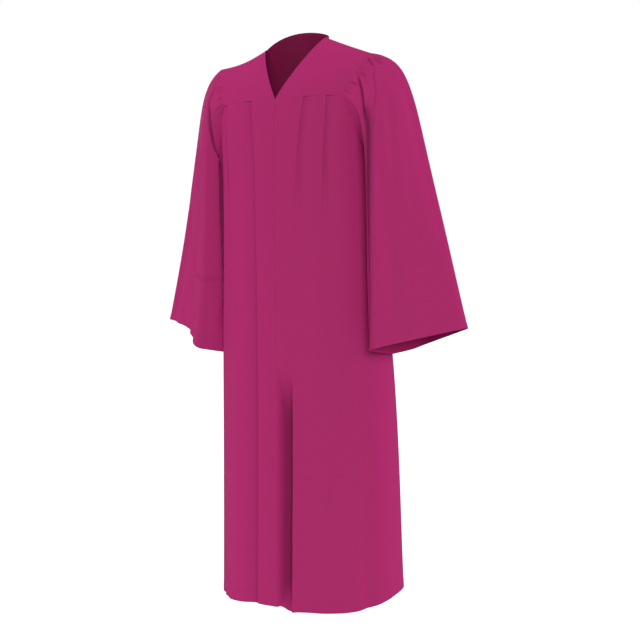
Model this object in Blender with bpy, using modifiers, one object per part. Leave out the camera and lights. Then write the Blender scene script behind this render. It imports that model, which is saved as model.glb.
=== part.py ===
"""Graduation gown, zipped at the centre front, in the hollow shape it has when it is worn.

Metres, +Z up. The front faces -Y and the wearer's left is +X. The origin lies between the two neck
points, level with them, where the wearer's shoulders carry the gown. A drop is a depth below it.
"""
from collections import namedtuple

import bmesh
import bpy
import numpy as np

# Driving sizes
WALL = 0.0012
SEAM_GAP = 0.0003
CENTRE_GAP = 0.0008
GOWN_LENGTH = 1.372
NECK_HALF_WIDTH = 0.0825
NECK_TILT = 0.007
NECK_SWAY = 0.007
V_DEPTH = 0.152
BACK_NECK_REACH = 0.068
BACK_NECK_RISE = 0.042
SHOULDER_HALF_SPAN = 0.2076
SHOULDER_FORE = -0.013
SHOULDER_DROP = 0.046
SHOULDER_HOLLOW = {+1: 0.001, -1: 0.008}
BACK_YOKE_DROP = 0.165
UNDERARM_DROP = 0.285
ZIP_SHARE = 0.46
ZIP_WIDTH = 0.026
ZIP_INSET = 0.0019

# Where the yokes end on the way round the body, and how much of the back yoke's top edge is neck
YOKE_CORNER = 0.60
BACK_YOKE_CORNER = 0.62
NECK_SHARE = 0.42

# How the lower stretch of the armhole curves down from the yokes' corners to the side seam
ARMHOLE_CURVE = 1.7

# How the yokes round the shoulders: their first slope, at the ridge and at the back of the neck, and fullness
RIDGE_ANGLE = 0.04
NECK_ANGLE = 0.79
YOKE_FULLNESS = 1.55
BACK_NECK_CURVE = 1.1

# The body of the gown, a row for each height: half its width, its front, its back and its side seams
Section = namedtuple("Section", "drop half_width front back side squareness")
BODY = (
    Section(0.130, 0.190, -0.102, 0.112, 0.000, 2.80),
    Section(0.200, 0.196, -0.112, 0.122, 0.004, 2.55),
    Section(0.290, 0.198, -0.113, 0.132, 0.010, 2.30),
    Section(0.450, 0.204, -0.110, 0.155, 0.026, 2.20),
    Section(0.790, 0.225, -0.101, 0.220, 0.060, 2.10),
    Section(1.372, 0.240, -0.100, 0.281, 0.090, 2.10),
)

# How far the hem hangs below the gown's length, from the wearer's right side round the front to the left
HemRow = namedtuple("HemRow", "around sag")
HEM = (
    HemRow(-2.0, -0.026),
    HemRow(-1.0, 0.010),
    HemRow(-0.4, 0.001),
    HemRow(0.0, -0.006),
    HemRow(0.15, 0.001),
    HemRow(0.5, 0.000),
    HemRow(1.0, -0.029),
    HemRow(2.0, -0.026),
)

# Knife pleats that hang from the yokes, their edges turned to the sides
Pleat = namedtuple("Pleat", "side half place lap opens width hem_width depth hem_depth")
PLEATS = (
    Pleat(+1, "front", 0.150, 0.019, 0.62, 0.0065, 0.0160, 0.0028, 0.0030),
    Pleat(+1, "front", 0.370, 0.019, 0.66, 0.0065, 0.0180, 0.0028, 0.0040),
    Pleat(-1, "front", 0.125, 0.020, 1.90, 0.0065, 0.0110, 0.0028, 0.0065),
    Pleat(-1, "front", 0.490, 0.018, 0.70, 0.0065, 0.0180, 0.0028, 0.0050),
    Pleat(+1, "back", 0.250, 0.019, 0.90, 0.0065, 0.0180, 0.0028, 0.0070),
    Pleat(+1, "back", 0.470, 0.019, 0.75, 0.0065, 0.0200, 0.0028, 0.0080),
    Pleat(-1, "back", 0.240, 0.019, 0.80, 0.0065, 0.0180, 0.0028, 0.0070),
    Pleat(-1, "back", 0.480, 0.019, 0.85, 0.0065, 0.0200, 0.0028, 0.0080),
)

# A pleat's edge steps inwards with a valley beside it, and both fade with the distance across it. The strip
# beside the centre front stays plain.
STEP_FADE = 8.0
VALLEY = 1.1
VALLEY_FADE = 9.0
CENTRE_STRIP = 0.04

# Soft flutes that open towards the hem
Flute = namedtuple("Flute", "side half place width depth start")
FLUTES = (
    Flute(+1, "front", 0.082, 0.0100, 0.046, 0.76),
    Flute(+1, "front", 0.640, 0.0260, 0.009, 0.60),
    Flute(-1, "front", 0.700, 0.0260, 0.008, 0.55),
    Flute(+1, "back", 0.330, 0.0260, 0.020, 0.45),
    Flute(+1, "back", 0.760, 0.0280, 0.015, 0.50),
    Flute(-1, "back", 0.120, 0.0240, 0.016, 0.40),
    Flute(-1, "back", 0.560, 0.0280, 0.020, 0.55),
)

# The sleeves, read round the armhole from the shoulder, forward and under the arm. The swell is how far
# the cloth puffs from the straight line between armhole and cuff.
Swell = namedtuple("Swell", "around out fore drop")
SWELLS = {
    +1: (
        Swell(0.00, 0.052, 0.060, -0.038),
        Swell(0.10, 0.088, 0.017, -0.014),
        Swell(0.19, 0.070, -0.034, 0.000),
        Swell(0.30, 0.045, -0.006, 0.010),
        Swell(0.50, 0.030, 0.000, 0.020),
        Swell(0.68, 0.045, 0.020, 0.010),
        Swell(0.80, 0.055, 0.045, 0.000),
        Swell(0.90, 0.052, 0.058, -0.014),
    ),
    -1: (
        Swell(0.00, 0.094, 0.080, -0.030),
        Swell(0.10, 0.077, 0.028, -0.012),
        Swell(0.19, 0.058, -0.020, 0.000),
        Swell(0.30, 0.012, 0.004, 0.010),
        Swell(0.50, 0.030, 0.000, 0.020),
        Swell(0.68, 0.045, 0.020, 0.010),
        Swell(0.80, 0.065, 0.050, 0.000),
        Swell(0.90, 0.074, 0.074, -0.010),
    ),
}
Cuff = namedtuple("Cuff", "around out fore drop")
CUFFS = {
    +1: (
        Cuff(0.00, 0.436, 0.072, 0.694),
        Cuff(0.10, 0.327, -0.014, 0.722),
        Cuff(0.19, 0.236, -0.103, 0.748),
        Cuff(0.50, 0.236, 0.050, 0.763),
        Cuff(0.70, 0.250, 0.140, 0.755),
        Cuff(0.79, 0.262, 0.190, 0.745),
        Cuff(0.90, 0.346, 0.146, 0.719),
    ),
    -1: (
        Cuff(0.00, 0.444, 0.070, 0.678),
        Cuff(0.10, 0.321, 0.024, 0.706),
        Cuff(0.19, 0.262, -0.064, 0.752),
        Cuff(0.30, 0.214, -0.004, 0.764),
        Cuff(0.50, 0.232, 0.060, 0.768),
        Cuff(0.70, 0.250, 0.140, 0.757),
        Cuff(0.79, 0.262, 0.190, 0.745),
        Cuff(0.90, 0.346, 0.146, 0.715),
    ),
}
SLEEVE_GAP = 0.0014
HEAD_TURN = 0.06
SWELL_FADE = {+1: 1.05, -1: 1.7}
CORNER_SOFTENING = (-0.03, -0.015, 0.0, 0.015, 0.03)

# Folds down each sleeve, and the gathers that set its head into the armhole
Crease = namedtuple("Crease", "side around width depth start end")
CREASES = (
    Crease(+1, 0.125, 0.018, 0.007, 0.00, 0.34),
    Crease(+1, 0.240, 0.030, 0.014, 0.05, 0.80),
    Crease(-1, 0.115, 0.032, 0.010, 0.25, 1.30),
    Crease(-1, 0.150, 0.018, 0.006, 0.00, 0.30),
)
GATHERS = 6
GATHER_SPREAD = 0.22
GATHER_DEPTH = 0.003
GATHER_REACH = 0.16
GATHER_START = 0.02
GATHER_EDGE = 6

# How finely each piece is divided
FRONT_COLUMNS = 30
BACK_COLUMNS = 26
BODY_ROWS = 15
BODY_CROWD = 1.25
PLEAT_CROWD = 5.0
PLEAT_CROWD_REACH = 0.055
YOKE_COLUMNS = 9
YOKE_ROWS = 9
SLEEVE_COLUMNS = 50
SLEEVE_ROWS = 14
SLEEVE_CROWD = 1.4

# How far past its ends the body's ring may be read, and the step that its direction is measured over
OVERRUN = 0.2
STEP = 0.002

CLOTH_COLOUR = (0.371, 0.026, 0.130, 1.0)
ZIP_COLOUR = (0.300, 0.020, 0.105, 1.0)


def read(rows, column, at):
    """A column of a table, read anywhere along its first column through a smooth curve."""
    known = np.array([row[0] for row in rows])
    value = np.array([getattr(row, column) for row in rows])
    slope = np.gradient(value, known)
    below = np.clip(np.searchsorted(known, at) - 1, 0, len(known) - 2)
    step = known[below + 1] - known[below]
    t = np.clip((at - known[below]) / step, 0.0, 1.0)
    start = value[below] * (1 + 2 * t) * (1 - t) ** 2 + slope[below] * step * t * (1 - t) ** 2
    return start + value[below + 1] * t * t * (3 - 2 * t) + slope[below + 1] * step * t * t * (t - 1)


def read_round(rows, column, around):
    """The same for a table that closes on itself after one turn."""
    turned = [row._replace(around=row.around + turn) for turn in (-1, 0, 1) for row in rows]
    known = [row.around for row in turned]
    value = [getattr(row, column) for row in turned]
    shifted = [np.interp(around % 1.0 + shift, known, value) for shift in CORNER_SOFTENING]
    return sum(shifted) / len(shifted)


def ease(start, end, at):
    """Rises smoothly from 0 at the start to 1 at the end."""
    t = np.clip((at - start) / (end - start), 0.0, 1.0)
    return t * t * (3 - 2 * t)


def ring(side, half, place, drop):
    """The plain body at a share of the way from the centre (0) to the side seam (1)."""
    angle = np.clip(place, -OVERRUN, 1 + OVERRUN) * np.pi / 2
    power = 2 / read(BODY, "squareness", drop)
    across = np.sign(np.sin(angle)) * np.abs(np.sin(angle)) ** power
    along = np.sign(np.cos(angle)) * np.abs(np.cos(angle)) ** power
    seam = read(BODY, "side", drop)
    return np.stack([
        side * read(BODY, "half_width", drop) * across,
        seam + (read(BODY, half, drop) - seam) * along,
        -drop,
    ], axis=-1)


def quarter_length(half, drop):
    depth = read(BODY, half, drop) - read(BODY, "side", drop)
    return np.pi / 2 * np.sqrt((read(BODY, "half_width", drop) ** 2 + depth ** 2) / 2)


def body_folds(side, half, place, drop):
    """How far the pleats and flutes move a point along the ring and inwards."""
    length = quarter_length(half, drop)
    yoke = V_DEPTH if half == "front" else BACK_YOKE_DROP
    down = ease(yoke, GOWN_LENGTH, drop)
    along = np.zeros_like(place)
    inward = np.zeros_like(place)
    for pleat in PLEATS:
        if (pleat.side, pleat.half) != (side, half):
            continue
        width = pleat.width + (pleat.hem_width - pleat.width) * down
        q = (place - pleat.place) * length / width
        lap = pleat.lap * (1 - ease(yoke, pleat.opens, drop))
        depth = pleat.depth + (pleat.hem_depth - pleat.depth) * down
        along -= lap * q * np.exp(-q ** 2 / 2)
        inward += depth * (q * np.exp(-q ** 2 / STEP_FADE) + VALLEY * np.exp(-q ** 2 / VALLEY_FADE))
    for flute in FLUTES:
        if (flute.side, flute.half) != (side, half):
            continue
        q = (place - flute.place) * length / flute.width
        inward += flute.depth * ease(flute.start, GOWN_LENGTH, drop) * np.exp(-q ** 2)
    free = ease(0.0, CENTRE_STRIP, place)
    return along / length * free, inward * free


def body_cloth(side, half, place, drop):
    along, inward = body_folds(side, half, place, drop)
    moved = place + along
    point = ring(side, half, moved, drop)
    run = ring(side, half, moved + STEP, drop) - ring(side, half, moved - STEP, drop)
    run /= np.linalg.norm(run, axis=-1, keepdims=True)
    turn = side if half == "front" else -side
    into = np.stack([-run[..., 1], run[..., 0], np.zeros_like(drop)], axis=-1) * turn
    return point + into * inward[..., None]


def top_drop(half, place):
    """The upper edge of a body panel: level under the yoke, then down round the armhole."""
    yoke, corner = (V_DEPTH, YOKE_CORNER) if half == "front" else (BACK_YOKE_DROP, BACK_YOKE_CORNER)
    out = np.clip((place - corner) / (1 - corner), 0.0, 1.0)
    return yoke + (UNDERARM_DROP - yoke) * (1 - (1 - out) ** ARMHOLE_CURVE)


def hem_drop(side, half, place):
    around = side * (place if half == "front" else 2 - place)
    return GOWN_LENGTH + read(HEM, "sag", around)


def shoulder_line(side, share):
    """From the neck point (0) to the shoulder point (1)."""
    hollow = np.where(side > 0, SHOULDER_HOLLOW[+1], SHOULDER_HOLLOW[-1])
    rise = side * NECK_TILT * (1 - share) - hollow * np.sin(np.pi * share)
    return np.stack([
        side * (NECK_HALF_WIDTH + (SHOULDER_HALF_SPAN - NECK_HALF_WIDTH) * share),
        SHOULDER_FORE * share,
        rise - SHOULDER_DROP * share,
    ], axis=-1)


def between(top, bottom, share, slope):
    """A point between an upper and a lower edge, on a curve that rounds the shoulder and ends upright."""
    angle = slope + (np.pi / 2 - slope) * share
    fore, fore_start = np.sin(angle) ** YOKE_FULLNESS, np.sin(slope) ** YOKE_FULLNESS
    fall, fall_start = 1 - np.cos(angle) ** YOKE_FULLNESS, 1 - np.cos(slope) ** YOKE_FULLNESS
    fore = (fore - fore_start) / (1 - fore_start)
    fall = (fall - fall_start) / (1 - fall_start)
    return top + (bottom - top) * np.stack([fall, fore, fall], axis=-1)


def front_yoke(side, across, share):
    """across runs from the neck edge to the armhole, share from the shoulder to the yoke seam."""
    top = shoulder_line(side, across)
    bottom = ring(side, "front", across * YOKE_CORNER, np.full_like(across, V_DEPTH - SEAM_GAP))
    return between(top, bottom, share, np.full_like(across, RIDGE_ANGLE))


def back_yoke(across, share):
    """across runs from the wearer's right armhole (-1) to the left (1)."""
    side = np.where(across < 0, -1.0, 1.0)
    reach = np.abs(across)
    shoulder = shoulder_line(side, np.clip((reach - NECK_SHARE) / (1 - NECK_SHARE), 0.0, 1.0))
    turn = np.clip(reach / NECK_SHARE, 0.0, 1.0) * np.pi / 2
    tilt = side * (NECK_TILT * np.sin(turn) - NECK_SWAY * np.sin(2 * turn))
    neck = np.stack([
        side * NECK_HALF_WIDTH * np.sin(turn),
        BACK_NECK_REACH * np.cos(turn),
        tilt + BACK_NECK_RISE * np.cos(turn) ** BACK_NECK_CURVE,
    ], axis=-1)
    at_neck = reach < NECK_SHARE
    top = np.where(at_neck[..., None], neck, shoulder)
    bottom = ring(side, "back", reach * BACK_YOKE_CORNER, np.full_like(across, BACK_YOKE_DROP - SEAM_GAP))
    slope = np.where(at_neck, RIDGE_ANGLE + (NECK_ANGLE - RIDGE_ANGLE) * np.cos(turn), RIDGE_ANGLE)
    return between(top, bottom, share, slope)


def panel_columns(side, half):
    """Column places from the centre (0) to the side (1), set closer at the pleats."""
    fine = np.linspace(0.0, 1.0, 1001)
    weight = np.ones_like(fine)
    for row in PLEATS:
        if (row.side, row.half) == (side, half):
            weight += PLEAT_CROWD * np.exp(-((fine - row.place) / PLEAT_CROWD_REACH) ** 2)
    reach = np.concatenate([[0.0], np.cumsum((weight[1:] + weight[:-1]) / 2)])
    count = FRONT_COLUMNS if half == "front" else BACK_COLUMNS
    places = np.interp(np.linspace(0.0, reach[-1], count), reach, fine)
    corner = YOKE_CORNER if half == "front" else BACK_YOKE_CORNER
    places[np.argmin(np.abs(places - corner))] = corner
    return places


def rows_down(count, crowd=1.0):
    return np.linspace(0.0, 1.0, count) ** crowd


def armhole(side):
    """The armhole from the shoulder point forward, under the arm and up the back, as (shares, points).

    Its points are those of the yokes and body panels, so the sleeve's edge follows theirs.
    """
    down = rows_down(YOKE_ROWS)
    front, back = panel_columns(side, "front"), panel_columns(side, "back")
    front, back = front[front > YOKE_CORNER], back[back > BACK_YOKE_CORNER][:-1]
    points = np.concatenate([
        front_yoke(side, np.ones_like(down), down),
        ring(side, "front", front, top_drop("front", front)),
        ring(side, "back", back[::-1], top_drop("back", back[::-1])),
        back_yoke(side * np.ones_like(down), 1 - down),
    ])
    travelled = np.concatenate([[0.0], np.cumsum(np.linalg.norm(np.diff(points, axis=0), axis=-1))])
    return travelled / travelled[-1], points


def sleeve_columns(side):
    """The armhole's own points, with the widest steps between them divided until there are enough."""
    places = list(armhole(side)[0])
    while len(places) <= SLEEVE_COLUMNS:
        widest = int(np.argmax(np.diff(places)))
        places.insert(widest + 1, (places[widest] + places[widest + 1]) / 2)
    return np.array(places)


def sleeve_cloth(side, around, share):
    """around is the share of the way round the armhole, share runs from the armhole to the cuff."""
    where, points = armhole(side)
    start = np.stack([np.interp(around % 1.0, where, points[:, axis]) for axis in range(3)], axis=-1)
    start[..., 0] += side * SLEEVE_GAP
    swell, cuff = (
        np.stack([
            side * read_round(rows, "out", around),
            read_round(rows, "fore", around),
            -read_round(rows, "drop", around),
        ], axis=-1)
        for rows in (SWELLS[side], CUFFS[side])
    )
    puff = (1 - share) ** SWELL_FADE[side] * (1 - np.exp(-share / HEAD_TURN))
    return start + (cuff - start) * share[..., None] + swell * puff[..., None]


def grid_normals(points):
    """Unit normals of a grid of points, a row for each height and a column for each place along it."""
    across = np.gradient(points, axis=1)
    down = np.gradient(points, axis=0)
    normal = np.cross(across, down)
    return normal / np.linalg.norm(normal, axis=-1, keepdims=True)


def sleeve_grid(side, columns, rows):
    around, share = np.meshgrid(columns, rows)
    points = sleeve_cloth(side, around, share)
    inward = np.zeros_like(share)
    for crease in CREASES:
        if crease.side == side:
            q = (around - crease.around) / crease.width
            middle = (crease.start + crease.end) / 2
            inward += crease.depth * np.exp(-q ** 2) * (
                ease(crease.start, middle, share) - ease(middle, crease.end, share))
    turn = (around + 0.5) % 1.0 - 0.5
    gathered = np.exp(-(turn / GATHER_SPREAD) ** GATHER_EDGE) * (1 - ease(0.0, GATHER_REACH, share))
    gathered *= ease(0.0, GATHER_START, share)
    inward += GATHER_DEPTH * gathered * np.cos(turn / GATHER_SPREAD * np.pi * GATHERS / 2)
    wide = np.concatenate([points[:, -3:-1], points, points[:, 1:3]], axis=1)
    normals = grid_normals(wide)[:, 2:-2] * side
    return points - normals * inward[..., None]


def material(name, colour):
    made = bpy.data.materials.new(name)
    made.use_nodes = True
    shader = made.node_tree.nodes["Principled BSDF"]
    shader.inputs["Base Color"].default_value = colour
    shader.inputs["Roughness"].default_value = 0.85
    shader.inputs["Metallic"].default_value = 0.0
    made.diffuse_color = colour
    return made


def wall(name, points, colour, closed=False):
    """A cloth wall: a grid moved to the points and given its thickness by Solidify."""
    rows, columns = points.shape[:2]
    shape = bmesh.new()
    bmesh.ops.create_grid(shape, x_segments=columns - 1, y_segments=rows - 1, size=0.5)
    for vertex, point in zip(shape.verts, points.reshape(-1, 3)):
        vertex.co = point
    if closed:
        bmesh.ops.remove_doubles(shape, verts=shape.verts, dist=1e-6)
    mesh = bpy.data.meshes.new(name)
    shape.to_mesh(mesh)
    shape.free()
    mesh.shade_smooth()
    mesh.materials.append(material(name, colour))
    made = bpy.data.objects.new(name, mesh)
    collection.objects.link(made)
    solidify = made.modifiers.new("cloth", "SOLIDIFY")
    solidify.thickness = WALL
    solidify.offset = 0.0
    solidify.use_even_offset = True
    return made


def panel_grid(side, half, rows):
    place, share = np.meshgrid(panel_columns(side, half), rows)
    edge = SEAM_GAP / 2 / quarter_length(half, np.full_like(place, GOWN_LENGTH))
    if half == "front":
        place = edge + place * (1 - 2 * edge)
    else:
        place = place * (1 - edge)
    top = top_drop(half, place)
    drop = top + (hem_drop(side, half, place) - top) * share
    points = body_cloth(side, half, place, drop)
    if half == "front":
        points[:, 0, 0] = side * CENTRE_GAP / 2
    return points


def build_body():
    rows = rows_down(BODY_ROWS, BODY_CROWD)
    for side, name in ((+1, "front_left"), (-1, "front_right")):
        wall(name, panel_grid(side, "front", rows), CLOTH_COLOUR)
    right, left = panel_grid(-1, "back", rows), panel_grid(+1, "back", rows)
    wall("back", np.concatenate([right[:, :0:-1], left], axis=1), CLOTH_COLOUR)


def build_yokes():
    down = rows_down(YOKE_ROWS)
    for side, name in ((+1, "yoke_front_left"), (-1, "yoke_front_right")):
        across, share = np.meshgrid(np.linspace(0.0, 1.0, YOKE_COLUMNS), down)
        points = front_yoke(side, across, share)
        points[..., 1] -= SEAM_GAP / 2
        points[..., 0] += side * SEAM_GAP / 2
        wall(name, points, CLOTH_COLOUR)
    across, share = np.meshgrid(np.linspace(-1.0, 1.0, 2 * YOKE_COLUMNS + 3), down)
    points = back_yoke(across, share)
    points[..., 1] += SEAM_GAP / 2 + WALL / 2
    wall("yoke_back", points, CLOTH_COLOUR)


def build_sleeves():
    rows = rows_down(SLEEVE_ROWS, SLEEVE_CROWD)
    for side, name in ((+1, "sleeve_left"), (-1, "sleeve_right")):
        wall(name, sleeve_grid(side, sleeve_columns(side), rows), CLOTH_COLOUR, closed=True)


def build_zip():
    """The tape lies behind both fronts, on their own points moved inwards."""
    rows = rows_down(BODY_ROWS, BODY_CROWD)
    rows = rows[rows < ZIP_SHARE]
    lines = []
    for side, reaches in ((-1, (ZIP_WIDTH / 2, CENTRE_GAP / 2)), (+1, (CENTRE_GAP / 2, ZIP_WIDTH / 2))):
        panel = panel_grid(side, "front", rows)
        for reach in reaches:
            lines.append([
                [side * reach] + [np.interp(reach, side * row[:, 0], row[:, axis]) for axis in (1, 2)]
                for row in panel
            ])
    points = np.array(lines).transpose(1, 0, 2)
    points[..., 1] += ZIP_INSET
    wall("zip_tape", points, ZIP_COLOUR)


for old in list(bpy.data.objects):
    bpy.data.objects.remove(old, do_unlink=True)
collection = bpy.data.collections.new("graduation_gown")
bpy.context.scene.collection.children.link(collection)
build_body()
build_yokes()
build_sleeves()
build_zip()
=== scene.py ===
"""Graduation gown: its cloth, sewing and zip over the solids of the frame, and the studio it is shown in.

Metres, +Z up. The front faces -Y and the wearer's left is +X. A drop is a depth below the neck points.
Each piece of cloth is a grid of rows from its upper edge (0) to its lower edge (1), a column for each place
across it.
"""
import math
from collections import namedtuple

import bpy
import numpy as np
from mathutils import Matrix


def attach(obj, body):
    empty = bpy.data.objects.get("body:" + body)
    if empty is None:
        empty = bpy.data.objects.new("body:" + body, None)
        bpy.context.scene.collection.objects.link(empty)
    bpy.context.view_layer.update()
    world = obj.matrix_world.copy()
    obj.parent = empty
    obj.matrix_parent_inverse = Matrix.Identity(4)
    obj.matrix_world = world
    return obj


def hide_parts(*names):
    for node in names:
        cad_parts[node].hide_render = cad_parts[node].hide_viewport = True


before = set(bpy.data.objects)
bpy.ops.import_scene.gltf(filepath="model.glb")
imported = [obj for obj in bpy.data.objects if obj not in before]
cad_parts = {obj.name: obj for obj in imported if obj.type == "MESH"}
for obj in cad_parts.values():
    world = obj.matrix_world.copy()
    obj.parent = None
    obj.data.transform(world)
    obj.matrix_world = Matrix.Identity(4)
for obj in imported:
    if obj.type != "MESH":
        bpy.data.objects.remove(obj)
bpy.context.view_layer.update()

# The gown's driving sizes, as its solids have them
GOWN_LENGTH = 1.372
NECK_HALF_WIDTH = 0.0825
NECK_TILT = 0.007
NECK_SWAY = 0.007
V_DEPTH = 0.152
BACK_NECK_REACH = 0.068
BACK_NECK_RISE = 0.042
SHOULDER_HALF_SPAN = 0.2076
SHOULDER_FORE = -0.013
SHOULDER_DROP = 0.046
SHOULDER_HOLLOW = {+1: 0.001, -1: 0.008}
BACK_YOKE_DROP = 0.165
UNDERARM_DROP = 0.285
ZIP_END = 0.710
ZIP_INSET = 0.0019
YOKE_CORNER = 0.60
BACK_YOKE_CORNER = 0.62
NECK_SHARE = 0.42
RIDGE_ANGLE = 0.04
NECK_ANGLE = 0.79
YOKE_FULLNESS = 1.55

# The shells: cloth, the gap left at a seam and at the closed front, and how the cloth turns in at a seam
CLOTH = 0.0005
SEAM_GAP = 0.0001
CENTRE_GAP = 0.0005
CENTRE_TURN = 0.0006
CENTRE_TURN_WIDTH = 0.0016
CENTRE_RISE = 0.0004
CENTRE_RISE_AT = 0.005
CENTRE_RISE_WIDTH = 0.003
BACK_YOKE_SET = 0.0006
SEAM_TURN = 0.00012
SEAM_TURN_WIDTH = 0.0020
SEAM_CALM = 0.015
HEM_DEPTH = 0.024
CUFF_DEPTH = 0.018
HEM_STEP = 0.0005
HEM_PULL = 0.6
HEM_PULL_WIDTH = 0.0022
HEM_EASE = 0.002
NECK_ROLL = 0.0010
NECK_ROLL_WIDTH = 0.0026
NECK_ROLL_INSET = 0.0022
NECK_PULL = 0.5
NECK_PULL_WIDTH = 0.0016
NECK_STITCH_INSET = 0.0065
ZIP_STITCH_INSET = 0.0110

# The body, a row for each height: half its width, its front, its back and its side seams
Section = namedtuple("Section", "drop half_width front back side squareness")
BODY = (
    Section(0.130, 0.190, -0.102, 0.112, 0.000, 2.80),
    Section(0.200, 0.196, -0.112, 0.122, 0.004, 2.55),
    Section(0.290, 0.198, -0.113, 0.132, 0.010, 2.30),
    Section(0.450, 0.204, -0.110, 0.155, 0.026, 2.20),
    Section(0.790, 0.225, -0.101, 0.220, 0.060, 2.10),
    Section(1.372, 0.240, -0.100, 0.281, 0.090, 2.10),
)

# How far the hem hangs below the gown's length, from the wearer's right side round the front to the left
HemRow = namedtuple("HemRow", "around sag")
HEM = (
    HemRow(-2.0, -0.026),
    HemRow(-1.0, 0.010),
    HemRow(-0.4, 0.001),
    HemRow(0.0, -0.006),
    HemRow(0.03, -0.005),
    HemRow(0.07, 0.002),
    HemRow(0.15, 0.001),
    HemRow(0.5, 0.000),
    HemRow(1.0, -0.029),
    HemRow(2.0, -0.026),
)

# Knife pleats that hang from the yokes, their edges turned to the sides
Pleat = namedtuple("Pleat", "side half place lap opens width hem_width depth hem_depth")
PLEATS = (
    Pleat(+1, "front", 0.150, 0.017, 0.62, 0.0060, 0.0160, 0.0011, 0.0022),
    Pleat(+1, "front", 0.370, 0.017, 0.66, 0.0060, 0.0180, 0.0011, 0.0026),
    Pleat(-1, "front", 0.125, 0.019, 4.00, 0.0060, 0.0078, 0.0014, 0.0045),
    Pleat(-1, "front", 0.490, 0.016, 0.70, 0.0060, 0.0180, 0.0011, 0.0040),
    Pleat(+1, "back", 0.250, 0.018, 0.90, 0.0062, 0.0180, 0.0016, 0.0070),
    Pleat(+1, "back", 0.470, 0.018, 0.75, 0.0062, 0.0200, 0.0016, 0.0080),
    Pleat(-1, "back", 0.240, 0.018, 0.80, 0.0062, 0.0180, 0.0016, 0.0070),
    Pleat(-1, "back", 0.480, 0.018, 0.85, 0.0062, 0.0200, 0.0016, 0.0080),
)

# Soft flutes that open towards the hem
Flute = namedtuple("Flute", "side half place width depth start")
FLUTES = (
    Flute(+1, "front", 0.640, 0.0260, 0.009, 0.60),
    Flute(-1, "front", 0.700, 0.0260, 0.008, 0.55),
    Flute(+1, "back", 0.330, 0.0260, 0.020, 0.45),
    Flute(+1, "back", 0.760, 0.0280, 0.015, 0.50),
    Flute(-1, "back", 0.120, 0.0240, 0.016, 0.40),
    Flute(-1, "back", 0.560, 0.0280, 0.020, 0.55),
)

# The sleeves, read round the armhole from the shoulder, forward and under the arm. The swell is how far
# the cloth puffs from the straight line between armhole and cuff.
Swell = namedtuple("Swell", "around out fore drop")
SWELLS = {
    +1: (
        Swell(0.00, 0.052, 0.060, -0.038),
        Swell(0.10, 0.088, 0.017, -0.014),
        Swell(0.19, 0.070, -0.034, 0.000),
        Swell(0.30, 0.045, -0.006, 0.010),
        Swell(0.50, 0.030, 0.000, 0.020),
        Swell(0.68, 0.045, 0.020, 0.010),
        Swell(0.80, 0.055, 0.045, 0.000),
        Swell(0.90, 0.052, 0.058, -0.014),
    ),
    -1: (
        Swell(0.00, 0.094, 0.080, -0.030),
        Swell(0.10, 0.077, 0.028, -0.012),
        Swell(0.19, 0.058, -0.020, 0.000),
        Swell(0.30, 0.012, 0.004, 0.010),
        Swell(0.50, 0.030, 0.000, 0.020),
        Swell(0.68, 0.045, 0.020, 0.010),
        Swell(0.80, 0.065, 0.050, 0.000),
        Swell(0.90, 0.074, 0.074, -0.010),
    ),
}
Cuff = namedtuple("Cuff", "around out fore drop")
CUFFS = {
    +1: (
        Cuff(0.00, 0.436, 0.072, 0.694),
        Cuff(0.10, 0.327, -0.014, 0.722),
        Cuff(0.19, 0.236, -0.103, 0.748),
        Cuff(0.50, 0.236, 0.050, 0.763),
        Cuff(0.70, 0.250, 0.140, 0.755),
        Cuff(0.79, 0.262, 0.190, 0.745),
        Cuff(0.90, 0.346, 0.146, 0.719),
    ),
    -1: (
        Cuff(0.00, 0.444, 0.070, 0.678),
        Cuff(0.10, 0.321, 0.024, 0.706),
        Cuff(0.19, 0.262, -0.064, 0.752),
        Cuff(0.30, 0.214, -0.004, 0.764),
        Cuff(0.50, 0.232, 0.060, 0.768),
        Cuff(0.70, 0.250, 0.140, 0.757),
        Cuff(0.79, 0.262, 0.190, 0.745),
        Cuff(0.90, 0.346, 0.146, 0.715),
    ),
}
SLEEVE_GAP = 0.0003
HEAD_TURN = 0.06
SWELL_FADE = {+1: 1.05, -1: 1.7}
CORNER_SOFTENING = (-0.03, -0.015, 0.0, 0.015, 0.03)

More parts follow.
